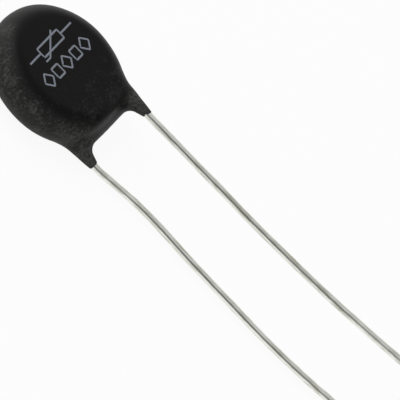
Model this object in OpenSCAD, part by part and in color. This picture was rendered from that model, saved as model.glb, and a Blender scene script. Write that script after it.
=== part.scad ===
// Disc thermistor, dipped in resin, with two radial wire leads.
// It lies on its rear face. +Z is the marked front face, and the leads run along -Y.

/* [Ceramic disc] */
// Diameter of the sintered disc
disc_d = 13.4; // [12.6:0.2:16]
// Thickness of the sintered disc
disc_t = 2; // [1.2:0.1:3]

/* [Silver films] */
// Bare rim of the disc round each film
film_margin = 0.4; // [0.2:0.1:0.9]
// Thickness of each film
film_t = 0.05; // [0.03:0.01:0.1]

/* [Leads] */
// Diameter of the tinned wire
wire_d = 0.8; // [0.6:0.05:1]
// Distance between the leads, centre to centre
lead_pitch = 7.4; // [6:0.1:7.8]
// How far each wire stops short of the edge of its film, at its upper end
wire_stop = 2.6; // [1.8:0.1:4]
// Length of each lead outside the coat
lead_free = 38; // [35:1:50]

/* [Solder] */
// Solder between each wire and its film
solder_gap = 0.05; // [0.03:0.01:0.1]
// Radius of the hollow fillets along the wire
solder_fillet = 0.6; // [0.4:0.05:0.7]
// Edge of the solder where it thins out on the film
solder_edge = 0.04; // [0.02:0.01:0.08]
// Where the solder starts to round off, short of the lower edge of the film
solder_stop = 1.9; // [1.7:0.1:3.5]

/* [Coating] */
// Resin over each wire, up to the flat face
coat_face = 0.35; // [0.2:0.05:0.6]
// Resin round the rim of the disc
coat_rim = 0.8; // [0.5:0.1:1.2]
// Resin under the disc, between the two lead roots
coat_saddle = 0.25; // [0.15:0.05:0.6]
// How softly the rim turns into the flat saddle
saddle_soft = 1.2; // [0.6:0.1:1.4]
// Radius of the resin bridge that runs under the disc from root to root
bridge_r = 0.95; // [0.7:0.05:1.1]
// How far each end of the bridge lies inside the line of its lead
root_inset = 0.15; // [0:0.05:0.6]
// How far each end of the bridge lies under the height of its lead
root_sink = 0.5; // [0.3:0.05:0.8]
// How softly the bridge blends into the disc
bridge_soft = 1.1; // [0.6:0.1:1.8]
// Radius of a skirt at its root
root_r = 0.85; // [0.7:0.05:1.1]
// How far the skirts reach down the wires, past the saddle
skirt_reach = 2.05; // [1.5:0.05:3]
// Resin round a wire at the end of its skirt
skirt_lip = 0.12; // [0.08:0.01:0.15]
// How far the end of a skirt leans outwards from its wire
skirt_lean = 0.03; // [0:0.01:0.04]
// How softly the skirts blend into the disc
skirt_soft = 0.9; // [0.5:0.1:1.6]

/* [Hidden] */
$fn = 64;

resin = [0.11, 0.105, 0.105];
oxide = [0.2, 0.19, 0.18];
silver = [0.83, 0.83, 0.81];
solder_grey = [0.66, 0.67, 0.68];
tin = [0.62, 0.62, 0.58];

wire_r = wire_d / 2;
lead_x = lead_pitch / 2;
film_z = disc_t / 2 + film_t;
lead_z = film_z + solder_gap + wire_r;

// The wires and their solder follow the edge of the film, measured along each wire
film_r = disc_d / 2 - film_margin;
film_edge = sqrt(film_r * film_r - lead_x * lead_x);
wire_run = film_edge - wire_stop;
solder_run = film_edge - solder_stop;

// The coat: half its thickness, its outer radius and the radius where its rim starts to round
coat_h = lead_z + wire_r + coat_face;
coat_r = disc_d / 2 + coat_rim;
flat_r = coat_r - coat_h;
saddle_y = disc_d / 2 + coat_saddle;
skirt_end = saddle_y + skirt_reach;

// The roots and the tips of the skirts, for the front lead
skirt_r = wire_r + skirt_lip;
root = [lead_x - root_inset, bridge_r - saddle_y, lead_z - root_sink];
tip = [lead_x + skirt_lean, skirt_r - skirt_end, lead_z];

// A lead leaves its passage just outside the coat, and only then takes its first bend
exit_gap = 0.2;
exit_y = skirt_end + exit_gap;

// Each wire past the passage, as [straight length, bend radius, bend angle].
// A plus angle turns towards +X, and the last straight takes up what is left of the length.
FRONT_BENDS = [[13.6, 145, 7]];
REAR_BENDS = [[0, 6, 7.5], [2.5, 30, -11], [2.2, 80, 2.5], [6, 75, 7.5]];
bend_draw = 0.004;
bend_lap = 0.1;

function path_length(bends) =
    len(bends) == 0 ? 0 : [for (b = bends) 1] * [for (b = bends) b[0] + b[1] * abs(b[2]) * PI / 180];

// Fields that are negative inside a form and grow outwards, in mm
function smooth_union(a, b, soft) = min(a, b) - pow(max(soft - abs(a - b), 0), 2) / (4 * soft);
function smooth_cut(a, b, soft) = -smooth_union(-a, -b, soft);

function rounded_disc(p) = norm([max(norm([p.x, p.y]) - flat_r, 0), p.z]) - coat_h;
function above_saddle(p) = -p.y - saddle_y;

// A round rod that tapers from one radius to the other
function drop(p, start, end, start_r, end_r) =
    let (
        way = end - start,
        share = min(max((p - start) * way / (way * way), 0), 1)
    )
    norm(p - start - way * share) - start_r - (end_r - start_r) * share;

function to_rear(p) = [-p.x, p.y, -p.z];

function coat(p) =
    let (
        disc = smooth_cut(rounded_disc(p), above_saddle(p), saddle_soft),
        bridged = smooth_union(disc, drop(p, to_rear(root), root, bridge_r, bridge_r), bridge_soft),
        one = smooth_union(bridged, drop(p, root, tip, root_r, skirt_r), skirt_soft),
        both = smooth_union(one, drop(to_rear(p), root, tip, root_r, skirt_r), skirt_soft)
    )
    max(both, abs(p.z) - coat_h);

// The skin is found along rays from an eye above the middle of the disc. Each ray goes through
// one point of a grid on the plain rounded disc: a turn about Z, and a tilt up or down its rim.
// The grid is finer round the point where the ray to a skirt's tip goes through.
eye = [0, coat_r / 2, 0];
aim = eye + (tip - eye) * (eye.y - root.y) / (eye.y - tip.y);
aim_turn = atan2(aim.y, aim.x);
aim_tilt = asin(aim.z / coat_h);
farthest = max(norm(tip - eye) + root_r, eye.y + coat_r);
turn_band = 10;
tilt_band = 20;

function steps(from, to, count) = [for (i = [0:count - 1]) from + (to - from) * i / count];
function backwards(list) = [for (i = [len(list) - 1:-1:0]) list[i]];

right_turns = concat(
    steps(-90, aim_turn - turn_band, 8),
    steps(aim_turn - turn_band, aim_turn + turn_band, 20),
    steps(aim_turn + turn_band, 90, 28)
);
left_turns = [for (a = backwards(concat(right_turns, 90))) 180 - a];
TURNS = concat(right_turns, [for (i = [0:len(left_turns) - 2]) left_turns[i]]);

front_tilts = concat(
    steps(90, aim_tilt + tilt_band, 5),
    steps(aim_tilt + tilt_band, aim_tilt - tilt_band, 14),
    steps(aim_tilt - tilt_band, 0, 3)
);
TILTS = concat(front_tilts, [0], [for (a = backwards(front_tilts)) -a]);

function on_disc(turn, tilt) =
    let (r = flat_r + coat_h * cos(tilt))
    [r * cos(turn), r * sin(turn), coat_h * sin(tilt)];
function hit(way, near, far, halvings) =
    let (mid = (near + far) / 2)
    halvings == 0 ? eye + way * mid :
    coat(eye + way * mid) < 0 ? hit(way, mid, far, halvings - 1) : hit(way, near, mid, halvings - 1);
function on_skin(p) = hit((p - eye) / norm(p - eye), 0, farthest, 18);

module coat_skin() {
    n = len(TURNS);
    last = (len(TILTS) - 1) * n;
    // The flat faces end at their own edge, and every other ring is moved out to the skin
    points = [for (tilt = TILTS) for (turn = TURNS)
        abs(tilt) == 90 ? on_disc(turn, tilt) : on_skin(on_disc(turn, tilt))];
    faces = concat(
        [[for (j = [n - 1:-1:0]) j]],
        [for (i = [0:n:last - n]) for (j = [0:n - 1])
            let (a = i + j, b = i + (j + 1) % n)
            each [[a, b, b + n], [a, b + n, a + n]]],
        [[for (j = [0:n - 1]) last + j]]
    );
    polyhedron(points, faces, convexity = 6);
}

// From here each piece is built about the middle of the disc, and turned to the rear where it belongs
module at_rest() {
    translate([0, 0, coat_h]) children();
}

module front_and_rear(side) {
    rotate([0, side > 0 ? 0 : 180, 0]) children();
}

module silver_film() {
    translate([0, 0, disc_t / 2]) cylinder(r = film_r, h = film_t);
}

// The straight stretch of a wire that the solder and the coat hold
module held_wire() {
    translate([lead_x, -exit_y, lead_z]) rotate([-90, 0, 0]) cylinder(r = wire_r, h = wire_run + exit_y);
}

// Half of the bead's section: level on the film, hollow up to the side of the wire
module bead_half() {
    difference() {
        square([wire_r + solder_fillet, solder_fillet + solder_edge]);
        translate([wire_r + solder_fillet, solder_fillet + solder_edge]) circle(r = solder_fillet);
    }
}

module solder_bead() {
    difference() {
        translate([lead_x, 0, film_z]) {
            translate([0, wire_run, 0]) rotate([90, 0, 0]) linear_extrude(wire_run + solder_run) {
                bead_half();
                mirror([1, 0]) bead_half();
            }
            for (y = [wire_run, -solder_run]) translate([0, y, 0]) rotate_extrude() bead_half();
        }
        held_wire();
    }
}

// One bend in the local XZ plane, from the origin along +Z.
// The wire draws in by a hair round it, and runs a little way into the straight at each end.
module bend(radius, angle) {
    lap = bend_lap / radius * 180 / PI;
    mirror([angle < 0 ? 1 : 0, 0, 0]) translate([radius, 0, 0]) rotate([90, 0, 180]) rotate(-lap)
        rotate_extrude(angle = abs(angle) + 2 * lap) translate([radius, 0]) circle(r = wire_r - bend_draw);
}

// The rest of a wire: each step is a straight, a bend and then the next step
module wire_path(bends, i = 0) {
    if (i == len(bends)) {
        cylinder(r = wire_r, h = lead_free - exit_gap - path_length(bends));
    } else {
        straight = bends[i][0];
        radius = bends[i][1];
        angle = bends[i][2];
        way = sign(angle);
        if (straight > 0) cylinder(r = wire_r, h = straight);
        translate([0, 0, straight]) {
            bend(radius, angle);
            translate([way * radius * (1 - cos(angle)), 0, radius * sin(abs(angle))])
                rotate([0, angle, 0]) wire_path(bends, i + 1);
        }
    }
}

module lead(side, bends) {
    color(tin) at_rest() {
        front_and_rear(side) held_wire();
        translate([side * lead_x, -exit_y, side * lead_z]) rotate([90, 0, 0]) wire_path(bends);
    }
}

module coating() {
    color(resin) at_rest() difference() {
        coat_skin();
        cylinder(d = disc_d, h = disc_t, center = true);
        for (side = [1, -1]) front_and_rear(side) {
            silver_film();
            solder_bead();
            held_wire();
        }
    }
}

module ntc_disc() {
    color(oxide) at_rest() cylinder(d = disc_d, h = disc_t, center = true);
}

module front_electrode() {
    color(silver) at_rest() silver_film();
}

module rear_electrode() {
    color(silver) at_rest() front_and_rear(-1) silver_film();
}

module front_solder() {
    color(solder_grey) at_rest() solder_bead();
}

module rear_solder() {
    color(solder_grey) at_rest() front_and_rear(-1) solder_bead();
}

module front_lead() {
    lead(1, FRONT_BENDS);
}

module rear_lead() {
    lead(-1, REAR_BENDS);
}

coating();
ntc_disc();
front_electrode();
rear_electrode();
front_solder();
rear_solder();
front_lead();
rear_lead();
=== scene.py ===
# A disc thermistor lying on its rear face: a dipped resin coat, two tinned wires and a generic ink marking.
import math

import bpy
import numpy as np
from mathutils import Matrix, Vector


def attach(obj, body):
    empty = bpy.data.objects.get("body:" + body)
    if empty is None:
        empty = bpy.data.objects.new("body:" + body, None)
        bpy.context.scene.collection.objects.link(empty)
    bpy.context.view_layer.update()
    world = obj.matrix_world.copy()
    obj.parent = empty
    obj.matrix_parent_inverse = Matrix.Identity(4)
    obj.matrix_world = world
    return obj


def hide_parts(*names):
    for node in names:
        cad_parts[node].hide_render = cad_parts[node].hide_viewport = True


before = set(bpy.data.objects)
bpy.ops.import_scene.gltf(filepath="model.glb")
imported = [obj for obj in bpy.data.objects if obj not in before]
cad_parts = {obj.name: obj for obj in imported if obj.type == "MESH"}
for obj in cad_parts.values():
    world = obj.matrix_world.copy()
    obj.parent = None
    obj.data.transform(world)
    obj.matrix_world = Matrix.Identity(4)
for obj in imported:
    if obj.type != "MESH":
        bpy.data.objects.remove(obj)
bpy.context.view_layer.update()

MM = 0.001

# Sizes of the part in mm, as in its source
COAT_H = 2.25
COAT_R = 7.5
FLAT_R = COAT_R - COAT_H
SADDLE_Y = 6.95
SADDLE_SOFT = 1.4
SADDLE_RISE = 0.05
SKIRT_END = 9.0
WIRE_R = 0.4
WIRE_RUN = 2.5
LEAD_X = 3.7
LEAD_Z = 1.5
LEAD_FREE = 38
EXIT_Y = 9.2
EXIT_GAP = 0.2
BRIDGE_R = 0.98
BRIDGE_SOFT = 0.7
BRIDGE_Y = -6.25
BRIDGE_FRONT = np.array([3.5, BRIDGE_Y, 0.7])
BRIDGE_REAR = np.array([-3.0, BRIDGE_Y, -0.7])
ROOT_R = 0.86
SKIRT_R = 0.45
SKIRT_END_SOFT = 0.3
COAT_DRIFT = 0.02
COAT_SWELL = 0.02
SKIRT_SOFT = 1.0
ROOT = np.array([LEAD_X, -4.5, LEAD_Z - 0.62])
TIP = np.array([LEAD_X + 0.03, SKIRT_R - SKIRT_END, LEAD_Z])

# The camera looks down on the part from its left, rolled so that the leads run to the lower right
AIM = Vector((2.16, -18.48, COAT_H)) * MM
VIEW_SIDE = math.radians(47.5)
VIEW_ROLL = math.radians(45.8)
VIEW_PITCH = math.radians(2.8)
VIEW_WIDTH = 400 / 10.28 * MM
VIEW_ACROSS = (math.cos(VIEW_SIDE), 0, math.sin(VIEW_SIDE))
CAMERA_DISTANCE = 1.2

# Each wire past its passage, as straight length, bend radius and bend angle towards +X
FRONT_BENDS = [(13.6, 145, 7)]
REAR_BENDS = [(0, 6, 7.5), (2.5, 30, -11), (2.2, 80, 2.5), (6, 75, 7.5)]


# Shader and geometry trees

def place(tree, kind, settings=None, **inputs):
    """Adds a node, with settings for its properties and a value or a socket for each named input."""
    made = tree.nodes.new(kind)
    for name, value in (settings or {}).items():
        setattr(made, name, value)
    for name, value in inputs.items():
        feed(tree, made, name.replace("_", " "), value)
    return made


def feed(tree, made, key, value):
    """Gives a node's input, by name or number, a value or a link."""
    socket = made.inputs[key]
    if isinstance(value, bpy.types.NodeSocket):
        tree.links.new(value, socket)
    else:
        socket.default_value = value


def maths(tree, operation, *values):
    made = place(tree, "ShaderNodeMath", {"operation": operation})
    for i, value in enumerate(values):
        feed(tree, made, i, value)
    return made.outputs[0]


def blend_colours(tree, share, first, second):
    made = place(tree, "ShaderNodeMix", {"data_type": "RGBA"})
    feed(tree, made, 0, share)
    feed(tree, made, 6, first)
    feed(tree, made, 7, second)
    return made.outputs[2]


def ramp(tree, value, low, high, low_out=0.0, high_out=1.0):
    """A smooth step from low_out to high_out, as value goes from low to high."""
    made = place(tree, "ShaderNodeMapRange", {"interpolation_type": "SMOOTHSTEP"})
    for i, v in enumerate((value, low, high, low_out, high_out)):
        feed(tree, made, i, v)
    return made.outputs[0]


def noise(tree, place_on, size_mm, detail=3.0, rough=0.55):
    """Noise whose lumps are about size_mm across, on coordinates in metres."""
    made = place(tree, "ShaderNodeTexNoise", Vector=place_on, Scale=1 / (size_mm * MM), Detail=detail, Roughness=rough)
    return made.outputs["Fac"]


def sockets(tree, inputs, outputs):
    """Names a group's inputs with their kinds and values, and its outputs with their kinds."""
    for name, kind, value in inputs:
        made = tree.interface.new_socket(name=name, in_out="INPUT", socket_type=kind)
        if value is not None:
            made.default_value = value
    for name, kind in outputs:
        tree.interface.new_socket(name=name, in_out="OUTPUT", socket_type=kind)
    return tree.nodes.new("NodeGroupInput"), tree.nodes.new("NodeGroupOutput")


def speckle_group():
    """Specks and patches that gather in clouds: dust on resin, dull spots on metal, gaps in ink."""
    tree = bpy.data.node_groups.new("speckle", "ShaderNodeTree")
    given, out = sockets(
        tree,
        [("Coordinates", "NodeSocketVector", None), ("Speck Size", "NodeSocketFloat", 0.3),
         ("Cloud Size", "NodeSocketFloat", 3.0), ("Cover", "NodeSocketFloat", 0.5)],
        [("Mask", "NodeSocketFloat"), ("Grain", "NodeSocketFloat")],
    )
    where = given.outputs["Coordinates"]
    speck_scale = maths(tree, "DIVIDE", 1 / MM, given.outputs["Speck Size"])
    cloud_scale = maths(tree, "DIVIDE", 1 / MM, given.outputs["Cloud Size"])
    specks = place(tree, "ShaderNodeTexNoise", Vector=where, Scale=speck_scale, Detail=4.0, Roughness=0.6)
    clouds = place(tree, "ShaderNodeTexNoise", Vector=where, Scale=cloud_scale, Detail=2.0, Roughness=0.5)
    bias = maths(tree, "MULTIPLY_ADD", clouds.outputs["Fac"], 0.5, maths(tree, "SUBTRACT", given.outputs["Cover"], 0.75))
    seen = maths(tree, "ADD", specks.outputs["Fac"], bias)
    tree.links.new(ramp(tree, seen, 0.38, 0.82), out.inputs["Mask"])
    tree.links.new(specks.outputs["Fac"], out.inputs["Grain"])
    return tree


def use(tree, group, **inputs):
    """Places a node group with its own values."""
    made = place(tree, "ShaderNodeGroup", {"node_tree": group})
    for name, value in inputs.items():
        feed(tree, made, name.replace("_", " "), value)
    return made.outputs


def new_material(name):
    """A material with its shader, and the Object coordinates that its patterns read."""
    made = bpy.data.materials.new(name)
    made.use_nodes = True
    tree = made.node_tree
    shader = tree.nodes["Principled BSDF"]
    where = tree.nodes.new("ShaderNodeTexCoord").outputs["Object"]
    return made, tree, shader, where


def bump(tree, shader, height, depth_mm, strength=1.0):
    made = place(tree, "ShaderNodeBump", Strength=strength, Distance=depth_mm * MM, Height=height)
    tree.links.new(made.outputs["Normal"], shader.inputs["Normal"])


def dipped_resin(speckle):
    """Dull near-black resin with a fine grey bloom of dust, thickest round the rim and at the lead roots. Round the
    rim, most on the -X side, the grey is partly a painted highlight: an even haze and specks that stand in for light
    catching the rim's fine lumps.
    """
    made, tree, shader, where = new_material("dipped_resin")
    parts = place(tree, "ShaderNodeSeparateXYZ", Vector=where).outputs
    flat = place(tree, "ShaderNodeCombineXYZ", X=parts["X"], Y=parts["Y"])
    reach = place(tree, "ShaderNodeVectorMath", {"operation": "LENGTH"}, Vector=flat.outputs[0]).outputs["Value"]
    rim = ramp(tree, reach, 5.8 * MM, 7.4 * MM)
    # Painted highlight: the rim's grey grows towards the -X side, where the light catches the rim
    side = ramp(tree, parts["X"], 3.0 * MM, -4.0 * MM, 0.8, 1.0)
    low = ramp(tree, parts["Y"], -5.4 * MM, -6.8 * MM)
    aside = ramp(tree, maths(tree, "ABSOLUTE", parts["X"]), 2.0 * MM, 3.4 * MM, 0.4, 1.0)
    skirts = maths(tree, "MULTIPLY", low, maths(tree, "MULTIPLY", aside, 1.2))
    clear = maths(tree, "SUBTRACT", 1.0, low)
    dust_and_sheen_zone = maths(tree, "MAXIMUM", maths(tree, "MULTIPLY", maths(tree, "MULTIPLY", rim, side), clear), skirts)
    cover = maths(tree, "MULTIPLY_ADD", dust_and_sheen_zone, 0.32, 0.22)
    dust = use(tree, speckle, Coordinates=where, Speck_Size=0.28, Cloud_Size=1.8, Cover=cover)
    low_face = ramp(tree, parts["Y"], 1.0 * MM, -5.5 * MM, 0.24, 0.44)
    crumbs = use(tree, speckle, Coordinates=where, Speck_Size=0.24, Cloud_Size=1.1, Cover=low_face)
    specks = maths(tree, "MAXIMUM", dust["Mask"], maths(tree, "MULTIPLY", crumbs["Mask"], 0.5))
    # The even haze is partly painted sheen on the rim; the specks are dust and partly painted highlights on fine lumps
    dust_and_sheen_share = maths(tree, "MULTIPLY_ADD", dust_and_sheen_zone, 0.26, maths(tree, "MULTIPLY", specks, 0.9))
    black = (0.0019, 0.0018, 0.0017, 1)
    # Grey of the dust bloom, also used for the painted highlight on the rim
    bloom_and_sheen = (0.066, 0.065, 0.063, 1)
    tree.links.new(blend_colours(tree, dust_and_sheen_share, black, bloom_and_sheen), shader.inputs["Base Color"])
    tree.links.new(ramp(tree, dust_and_sheen_share, 0.0, 1.0, 0.44, 0.72), shader.inputs["Roughness"])
    shader.inputs["Specular IOR Level"].default_value = 0.11
    lumps = noise(tree, where, 0.16, 4.0, 0.6)
    bump(tree, shader, maths(tree, "MULTIPLY_ADD", dust["Grain"], 0.8, lumps), 0.02, 0.6)
    return made


def tinned_wire(speckle):
    """Tin plating drawn lengthwise, with dull olive patches from handling."""
    made, tree, shader, where = new_material("tinned_wire")
    drawn = place(tree, "ShaderNodeMapping", Vector=where)
    drawn.inputs["Scale"].default_value = (1, 0.1, 1)
    streaks = noise(tree, drawn.outputs[0], 0.13, 3.0)
    dull = use(tree, speckle, Coordinates=drawn.outputs[0], Speck_Size=0.22, Cloud_Size=0.5, Cover=0.51)
    bright = (0.89, 0.895, 0.84, 1)
    olive = (0.47, 0.47, 0.39, 1)
    shade = maths(tree, "MAXIMUM", dull["Mask"], ramp(tree, streaks, 0.53, 0.66, 0.0, 0.6))
    tree.links.new(blend_colours(tree, shade, bright, olive), shader.inputs["Base Color"])
    shader.inputs["Metallic"].default_value = 1.0
    roughness = maths(tree, "MULTIPLY_ADD", streaks, 0.10, ramp(tree, dull["Mask"], 0.0, 1.0, 0.04, 0.20))
    tree.links.new(roughness, shader.inputs["Roughness"])
    bump(tree, shader, maths(tree, "MULTIPLY_ADD", dull["Grain"], 0.8, streaks), 0.012, 0.7)
    return made


def pale_ink(speckle):
    """Pale blue-grey ink, thin in places."""
    made, tree, shader, where = new_material("pale_ink")
    thin = use(tree, speckle, Coordinates=where, Speck_Size=0.16, Cloud_Size=1.2, Cover=0.36)
    full = (0.185, 0.202, 0.242, 1)
    worn = (0.105, 0.115, 0.14, 1)
    tree.links.new(blend_colours(tree, thin["Mask"], full, worn), shader.inputs["Base Color"])
    shader.inputs["Roughness"].default_value = 0.7
    bump(tree, shader, thin["Grain"], 0.004, 0.5)
    return made


def sintered_oxide(speckle):
    """Matt dark grey ceramic with fine pores."""
    made, tree, shader, where = new_material("sintered_oxide")
    pores = use(tree, speckle, Coordinates=where, Speck_Size=0.12, Cloud_Size=2.0, Cover=0.4)
    tree.links.new(blend_colours(tree, pores["Mask"], (0.03, 0.03, 0.032, 1), (0.012, 0.012, 0.013, 1)), shader.inputs["Base Color"])
    shader.inputs["Roughness"].default_value = 0.8
    bump(tree, shader, pores["Grain"], 0.01, 0.6)
    return made


def fired_silver(speckle):
    """A matt silver film with the weave of its printing screen."""
    made, tree, shader, where = new_material("fired_silver")
    threads = place(tree, "ShaderNodeTexWave", Vector=where, Scale=900.0, Distortion=1.5, Detail=1.0)
    spots = use(tree, speckle, Coordinates=where, Speck_Size=0.3, Cloud_Size=3.0, Cover=0.4)
    tree.links.new(blend_colours(tree, spots["Mask"], (0.78, 0.78, 0.75, 1), (0.60, 0.59, 0.54, 1)), shader.inputs["Base Color"])
    shader.inputs["Metallic"].default_value = 1.0
    shader.inputs["Roughness"].default_value = 0.5
    bump(tree, shader, threads.outputs["Fac"], 0.004, 0.5)
    return made


def soft_solder(speckle):
    """Grey solder with a frosted skin."""
    made, tree, shader, where = new_material("soft_solder")
    frost = use(tree, speckle, Coordinates=where, Speck_Size=0.2, Cloud_Size=1.5, Cover=0.5)
    tree.links.new(blend_colours(tree, frost["Mask"], (0.62, 0.62, 0.63, 1), (0.42, 0.42, 0.43, 1)), shader.inputs["Base Color"])
    shader.inputs["Metallic"].default_value = 1.0
    tree.links.new(ramp(tree, frost["Mask"], 0.0, 1.0, 0.25, 0.5), shader.inputs["Roughness"])
    bump(tree, shader, frost["Grain"], 0.01, 0.5)
    return made


# The dipped coat

def smooth_union(a, b, soft):
    return np.minimum(a, b) - np.maximum(soft - np.abs(a - b), 0) ** 2 / (4 * soft)


def smooth_cut(a, b, soft):
    return -smooth_union(-a, -b, soft)


def drop(p, start, end, start_r, end_r):
    """A round rod that tapers from one radius to the other, ever faster towards its end."""
    way = end - start
    share = np.clip((p - start) @ way / (way @ way), 0, 1)
    return np.linalg.norm(p - start - share[..., None] * way, axis=-1) - start_r - (end_r - start_r) * share ** 2.4


def skirt(p, end, slant, splay):
    """The skirt of the front lead. Its blunt end reaches further down on one side of the wire."""
    body = drop(p, ROOT + [splay, 0, 0], TIP + [0, -0.3, 0], ROOT_R, SKIRT_R)
    across = VIEW_ACROSS[0] * (p[..., 0] - LEAD_X) + VIEW_ACROSS[2] * (p[..., 2] - LEAD_Z)
    return smooth_cut(body, -p[..., 1] - end - slant * across, SKIRT_END_SOFT)


def coat(p):
    """Negative inside the coat. Coordinates are in mm from the middle of the disc."""
    rear = p * [-1, 1, -1]
    reach = np.hypot(p[..., 0] - COAT_DRIFT, p[..., 1])
    rounded = np.hypot(np.maximum(reach - FLAT_R - COAT_SWELL, 0), p[..., 2]) - COAT_H
    disc = smooth_cut(rounded, -p[..., 1] - SADDLE_Y + SADDLE_RISE, SADDLE_SOFT)
    bridged = smooth_union(disc, drop(p, BRIDGE_REAR, BRIDGE_FRONT, BRIDGE_R, BRIDGE_R), BRIDGE_SOFT)
    front_skirt, rear_skirt = skirt(p, 9.09, 0.3, 0.32), skirt(rear, 8.87, 0.0, 0.14)
    both = smooth_union(smooth_union(bridged, front_skirt, SKIRT_SOFT), rear_skirt, SKIRT_SOFT)
    sway = np.sin(1.1 * p[..., 0] + 0.6) * np.sin(0.9 * p[..., 1] + 1.9 * p[..., 2] + 0.4)
    away = np.clip((reach - FLAT_R) / 1.5, 0, 1)
    return both + 0.02 * sway * away ** 2


def crowded(low, high, count, centres, width, gain):
    """Values from low to high that lie closer together round the centres."""
    fine = np.linspace(low, high, 4001)
    density = 1 + gain * sum(np.exp(-((fine - c) / width) ** 2) for c in centres)
    total = np.concatenate([[0], np.cumsum((density[1:] + density[:-1]) / 2)])
    return np.interp(np.linspace(0, total[-1], count), total, fine)


def mesh_piece(name, points_mm, faces, material):
    """A smooth-shaded piece from points in mm."""
    mesh = bpy.data.meshes.new(name)
    mesh.from_pydata((np.asarray(points_mm) * MM).tolist(), [], faces)
    mesh.validate()
    mesh.shade_smooth()
    mesh.materials.append(material)
    piece = bpy.data.objects.new(name, mesh)
    bpy.context.scene.collection.objects.link(piece)
    return piece


def dipped_coat(material):
    """The coat's skin, found along rays from an eye inside it, each through a point of a plain rounded disc."""
    eye = np.array([0, COAT_R / 2, 0])
    aim = eye + (TIP - eye) * (eye[1] - BRIDGE_Y) / (eye[1] - TIP[1])
    turn = math.degrees(math.atan2(aim[1], aim[0]))
    tilt = math.degrees(math.asin(aim[2] / COAT_H))
    turns = np.radians(crowded(-90, 270, 401, [turn, 180 - turn], 9, 5)[:-1])
    tilts = np.radians(crowded(-90, 90, 125, [-tilt, tilt], 14, 3))
    inner = np.linspace(0, FLAT_R, 16)[1:-1]
    rings = [(r, -COAT_H) for r in inner]
    rings += [(FLAT_R + COAT_H * math.cos(a), COAT_H * math.sin(a)) for a in tilts]
    rings += [(r, COAT_H) for r in inner[::-1]]
    grid = np.array([[(r * math.cos(t), r * math.sin(t), z) for t in turns] for r, z in rings])
    grid = np.concatenate([[[0, 0, -COAT_H]], grid.reshape(-1, 3), [[0, 0, COAT_H]]])
    way = grid - eye
    way /= np.linalg.norm(way, axis=-1, keepdims=True)
    near, far = np.zeros(len(way)), np.full(len(way), eye[1] + SKIRT_END + 2)
    for _ in range(26):
        middle = (near + far) / 2
        inside = coat(eye + way * middle[:, None]) < 0
        near, far = np.where(inside, middle, near), np.where(inside, far, middle)
    points = eye + way * near[:, None] + [0, 0, COAT_H]
    n, last = len(turns), len(points) - 1
    faces = []
    for j in range(n):
        k = (j + 1) % n
        faces.append((0, 1 + k, 1 + j))
        faces.append((last, last - n + j, last - n + k))
        for i in range(len(rings) - 1):
            a = 1 + i * n
            faces.append((a + j, a + k, a + n + k, a + n + j))
    return mesh_piece("dipped_coat", points, faces, material)


# Pieces that follow a path

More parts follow.
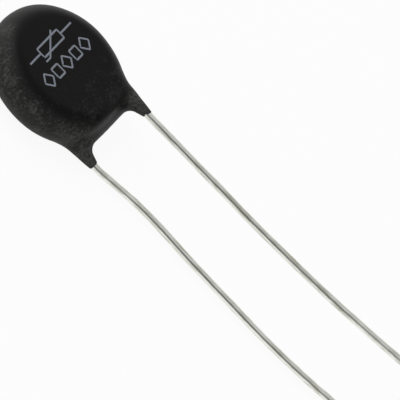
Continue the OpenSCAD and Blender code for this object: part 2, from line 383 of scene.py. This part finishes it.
def tube_tree():
    """Tubes of oval section along chains of edges, with filleted corners and rounded ends."""
    tree = bpy.data.node_groups.new("tube_on_path", "GeometryNodeTree")
    given, out = sockets(
        tree,
        [("Path", "NodeSocketGeometry", None), ("Half Width", "NodeSocketFloat", WIRE_R * MM),
         ("Flatness", "NodeSocketFloat", 1.0), ("Corner Radius", "NodeSocketFloat", 0.0),
         ("End Radius", "NodeSocketFloat", 0.1 * MM), ("Step", "NodeSocketFloat", 0.1 * MM),
         ("Ring Points", "NodeSocketInt", 32), ("Wander", "NodeSocketFloat", 0.0),
         ("Wander Size", "NodeSocketFloat", 3 * MM), ("Material", "NodeSocketMaterial", None)],
        [("Tube", "NodeSocketGeometry")],
    )
    sizes = given.outputs
    path = place(tree, "GeometryNodeMeshToCurve", Mesh=sizes["Path"]).outputs[0]
    rounded = place(tree, "GeometryNodeFilletCurve", {"mode": "POLY"}, Curve=path, Count=6, Radius=sizes["Corner Radius"],
                    Limit_Radius=True).outputs[0]
    even = place(tree, "GeometryNodeResampleCurve", {"mode": "LENGTH"}, Curve=rounded, Length=sizes["Step"]).outputs[0]
    sway = place(tree, "ShaderNodeTexNoise", Scale=maths(tree, "DIVIDE", 1.0, sizes["Wander Size"]), Detail=1.0)
    centred = place(tree, "ShaderNodeVectorMath", {"operation": "SUBTRACT"})
    feed(tree, centred, 0, sway.outputs["Color"])
    feed(tree, centred, 1, (0.5, 0.5, 0.5))
    offset = place(tree, "ShaderNodeVectorMath", {"operation": "SCALE"}, Scale=sizes["Wander"])
    feed(tree, offset, 0, centred.outputs[0])
    moved = place(tree, "GeometryNodeSetPosition", Geometry=even, Offset=offset.outputs[0]).outputs[0]
    level = place(tree, "GeometryNodeSetCurveNormal", {"mode": "Z_UP"}, Curve=moved).outputs[0]

    # The section shrinks along a quarter circle as it nears an end
    along = tree.nodes.new("GeometryNodeSplineParameter").outputs["Length"]
    whole = tree.nodes.new("GeometryNodeSplineLength").outputs["Length"]
    to_end = maths(tree, "MINIMUM", along, maths(tree, "SUBTRACT", whole, along))
    share = place(tree, "ShaderNodeClamp", Value=maths(tree, "DIVIDE", to_end, sizes["End Radius"])).outputs[0]
    rest = maths(tree, "SUBTRACT", 1.0, share)
    sag = maths(tree, "SUBTRACT", 1.0, maths(tree, "SQRT", maths(tree, "SUBTRACT", 1.0, maths(tree, "MULTIPLY", rest, rest))))
    lost = maths(tree, "MULTIPLY", sag, maths(tree, "DIVIDE", sizes["End Radius"], sizes["Half Width"]))
    scale = maths(tree, "SUBTRACT", 1.0, lost)

    ring = place(tree, "GeometryNodeCurvePrimitiveCircle", Resolution=sizes["Ring Points"], Radius=sizes["Half Width"])
    oval = place(tree, "ShaderNodeCombineXYZ", X=1.0, Y=sizes["Flatness"], Z=1.0).outputs[0]
    section = place(tree, "GeometryNodeTransform", Geometry=ring.outputs[0], Scale=oval).outputs[0]
    tube = place(tree, "GeometryNodeCurveToMesh", Curve=level, Profile_Curve=section, Scale=scale, Fill_Caps=True).outputs[0]
    smooth = place(tree, "GeometryNodeSetShadeSmooth", Geometry=tube, Shade_Smooth=True).outputs[0]
    real = place(tree, "GeometryNodeRealizeInstances", Geometry=smooth).outputs[0]
    dressed = place(tree, "GeometryNodeSetMaterial", Geometry=real, Material=sizes["Material"]).outputs[0]
    tree.links.new(dressed, out.inputs["Tube"])
    return tree


def path_piece(name, tree, chains, **sizes):
    """One plain mesh made by the tree from chains of points in mm. A chain is (points, closed)."""
    points, edges = [], []
    for chain, closed in chains:
        first = len(points)
        points += chain
        edges += [(first + i, first + i + 1) for i in range(len(chain) - 1)]
        if closed:
            edges.append((len(points) - 1, first))
    mesh = bpy.data.meshes.new(name + "_path")
    mesh.from_pydata((np.array(points, float) * MM).tolist(), edges, [])
    carrier = bpy.data.objects.new(name + "_path", mesh)
    bpy.context.scene.collection.objects.link(carrier)
    modifier = carrier.modifiers.new("tube", "NODES")
    modifier.node_group = tree
    for item in tree.interface.items_tree:
        key = item.name.replace(" ", "_")
        if item.in_out == "INPUT" and key in sizes:
            modifier[item.identifier] = sizes[key]
    bpy.context.view_layer.update()
    seen = bpy.context.evaluated_depsgraph_get()
    made = bpy.data.meshes.new_from_object(carrier.evaluated_get(seen), depsgraph=seen)
    made.name = name
    bpy.data.objects.remove(carrier)
    piece = bpy.data.objects.new(name, made)
    bpy.context.scene.collection.objects.link(piece)
    return piece


def wire_points(side, bends):
    """The middle line of a lead, from its end on the disc to its free end."""
    z = COAT_H + side * LEAD_Z
    points = [(side * LEAD_X, WIRE_RUN, z), (side * LEAD_X, -EXIT_Y, z)]
    x, y, heading = side * LEAD_X, -EXIT_Y, 0.0
    left = LEAD_FREE - EXIT_GAP
    for straight, radius, angle in bends:
        if straight:
            x, y = x + straight * math.sin(heading), y - straight * math.cos(heading)
            points.append((x, y, z))
        turn = math.radians(angle)
        count = max(4, round(radius * abs(turn) / 0.3))
        for _ in range(count):
            heading += turn / count
            x, y = x + radius * abs(turn) / count * math.sin(heading - turn / count / 2), \
                y - radius * abs(turn) / count * math.cos(heading - turn / count / 2)
            points.append((x, y, z))
        left -= straight + radius * abs(turn)
    points.append((x + left * math.sin(heading), y - left * math.cos(heading), z))
    return points


def thermistor_symbol(cx, cy, z):
    """The plain circuit symbol: a box with a lead at each end, and a slanting line with a foot across it."""
    def at(x, y):
        return (cx + x, cy + y, z)
    return [
        ([at(-2.0, -0.55), at(2.0, -0.55), at(2.0, 0.55), at(-2.0, 0.55)], True),
        ([at(-4.2, 0), at(-2.0, 0)], False),
        ([at(2.0, 0), at(4.2, 0)], False),
        ([at(-2.3, -0.95), at(-1.45, -0.95), at(1.35, 0.95)], False),
    ]


def row_of_marks(middle, cy, z, count, pitch, half):
    """Outline diamonds and squares in turn."""
    chains = []
    for i in range(count):
        cx = middle + (i - (count - 1) / 2) * pitch
        if i % 2:
            r = half * 0.74
            chains.append(([(cx - r, cy - r, z), (cx + r, cy - r, z), (cx + r, cy + r, z), (cx - r, cy + r, z)], True))
        else:
            chains.append(([(cx - half, cy, z), (cx, cy - half, z), (cx + half, cy, z), (cx, cy + half, z)], True))
    return chains


# Studio and camera

def seen_rays(tree, camera_share, other_share):
    """One share for camera rays, and another for glossy and transmission rays."""
    rays = tree.nodes.new("ShaderNodeLightPath").outputs
    others = maths(tree, "MAXIMUM", rays["Is Glossy Ray"], rays["Is Transmission Ray"])
    return maths(tree, "MULTIPLY_ADD", rays["Is Camera Ray"], camera_share, maths(tree, "MULTIPLY", others, other_share))


def studio_floor():
    made = bpy.data.materials.new("studio_floor")
    made.use_nodes = True
    tree = made.node_tree
    tree.nodes.clear()
    paper = place(tree, "ShaderNodeBsdfDiffuse", Color=(0.86, 0.86, 0.86, 1))
    white = place(tree, "ShaderNodeEmission", Color=(1, 1, 1, 1), Strength=1.0)
    mixed = tree.nodes.new("ShaderNodeMixShader")
    feed(tree, mixed, 0, seen_rays(tree, 0.92, 0.85))
    feed(tree, mixed, 1, paper.outputs[0])
    feed(tree, mixed, 2, white.outputs[0])
    place(tree, "ShaderNodeOutputMaterial", Surface=mixed.outputs[0])
    half = 3.0
    mesh = bpy.data.meshes.new("floor")
    mesh.from_pydata([(-half, -half, 0), (half, -half, 0), (half, half, 0), (-half, half, 0)], [], [(0, 1, 2, 3)])
    mesh.materials.append(made)
    floor = bpy.data.objects.new("floor", mesh)
    bpy.context.scene.collection.objects.link(floor)


def studio_world():
    """White all round for the camera. The object sees a pale room that is dark behind the camera."""
    world = bpy.data.worlds.new("studio")
    bpy.context.scene.world = world
    world.use_nodes = True
    tree = world.node_tree
    tree.nodes.clear()
    way = tree.nodes.new("ShaderNodeTexCoord").outputs["Generated"]
    parts = place(tree, "ShaderNodeSeparateXYZ", Vector=way).outputs
    towards = place(tree, "ShaderNodeVectorMath", {"operation": "DOT_PRODUCT"})
    feed(tree, towards, 0, way)
    feed(tree, towards, 1, (view_axes()[2] - Vector((0, 0, 0.13))).normalized())
    open_room = ramp(tree, towards.outputs["Value"], 0.85, 0.995, 0.60, 0.17)
    room = maths(tree, "MULTIPLY", open_room, ramp(tree, parts["Y"], -0.75, -0.15, 0.4, 1.0))
    far = maths(tree, "MULTIPLY", ramp(tree, towards.outputs["Value"], 0.3, -0.3), ramp(tree, parts["Y"], -0.6, 0.4, 0.0, 1.0))
    wall = maths(tree, "MULTIPLY", far, ramp(tree, parts["Z"], 0.05, 0.42, 1.25, 0.0))
    studio = maths(tree, "ADD", room, wall)
    rays = tree.nodes.new("ShaderNodeLightPath").outputs
    lit = maths(tree, "MAXIMUM", studio, maths(tree, "MULTIPLY", rays["Is Diffuse Ray"], 0.62))
    level = maths(tree, "MAXIMUM", lit, rays["Is Camera Ray"])
    light = place(tree, "ShaderNodeBackground", Color=(1, 1, 1, 1), Strength=level)
    place(tree, "ShaderNodeOutputWorld", Surface=light.outputs[0])


def softbox(name, way, distance, size, watts):
    """A square area lamp that faces the part."""
    lamp = bpy.data.lights.new(name, "AREA")
    lamp.shape = "SQUARE"
    lamp.size = size
    lamp.energy = watts
    made = bpy.data.objects.new(name, lamp)
    bpy.context.scene.collection.objects.link(made)
    back = Vector(way).normalized()
    made.location = AIM + back * distance
    made.rotation_mode = "QUATERNION"
    made.rotation_quaternion = back.to_track_quat("Z", "Y")


def view_axes():
    """The camera's right, up and back."""
    s, c = math.sin(VIEW_SIDE), math.cos(VIEW_SIDE)
    down_leads = Vector((-s * math.sin(VIEW_PITCH), -math.cos(VIEW_PITCH), c * math.sin(VIEW_PITCH)))
    across = Vector(VIEW_ACROSS)
    right = down_leads * math.cos(VIEW_ROLL) + across * math.sin(VIEW_ROLL)
    up = across * math.cos(VIEW_ROLL) - down_leads * math.sin(VIEW_ROLL)
    return right, up, right.cross(up)


def camera():
    right, up, back = view_axes()
    lens = bpy.data.cameras.new("camera")
    lens.sensor_width = 36
    lens.lens = 36 * CAMERA_DISTANCE / VIEW_WIDTH
    lens.clip_start, lens.clip_end = 0.05, 20
    made = bpy.data.objects.new("camera", lens)
    bpy.context.scene.collection.objects.link(made)
    turned = Matrix((right, up, back)).transposed().to_4x4()
    made.matrix_world = Matrix.Translation(AIM + back * CAMERA_DISTANCE) @ turned
    bpy.context.scene.camera = made


# The part is put together

camera()
studio_floor()
studio_world()
softbox("key", (0.15, 0.8, 0.6), 0.6, 0.45, 1.5)
bpy.context.scene.view_settings.view_transform = "Standard"

speckle = speckle_group()
resin = dipped_resin(speckle)
tin = tinned_wire(speckle)
ink = pale_ink(speckle)
tube = tube_tree()

coat_piece = dipped_coat(resin)
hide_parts("coating")

front_wire = path_piece("front_wire", tube, [(wire_points(1, FRONT_BENDS), False)], Half_Width=WIRE_R * MM, Material=tin)
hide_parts("front_lead")
rear_wire = path_piece("rear_wire", tube, [(wire_points(-1, REAR_BENDS), False)], Half_Width=WIRE_R * MM, Material=tin)
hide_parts("rear_lead")

FACE_Z = 2 * COAT_H
STROKE = dict(Half_Width=0.105 * MM, Flatness=0.11, Corner_Radius=0.12 * MM, End_Radius=0.105 * MM, Step=0.03 * MM,
              Ring_Points=12, Wander=0.02 * MM, Wander_Size=0.5 * MM, Material=ink)
ink_symbol = path_piece("ink_symbol", tube, thermistor_symbol(0, 2.67, FACE_Z), **STROKE)
ink_marks = path_piece("ink_marks", tube, row_of_marks(-0.14, 0.29, FACE_Z, 5, 1.81, 0.8), **STROKE)

for piece in (coat_piece, front_wire, rear_wire, ink_symbol, ink_marks):
    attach(piece, "root")

inner_finishes = {
    "ntc_disc": sintered_oxide(speckle),
    "front_electrode": fired_silver(speckle),
    "front_solder": soft_solder(speckle),
}
inner_finishes["rear_electrode"] = inner_finishes["front_electrode"]
inner_finishes["rear_solder"] = inner_finishes["front_solder"]
for name, finish in inner_finishes.items():
    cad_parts[name].data.materials.clear()
    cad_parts[name].data.materials.append(finish)
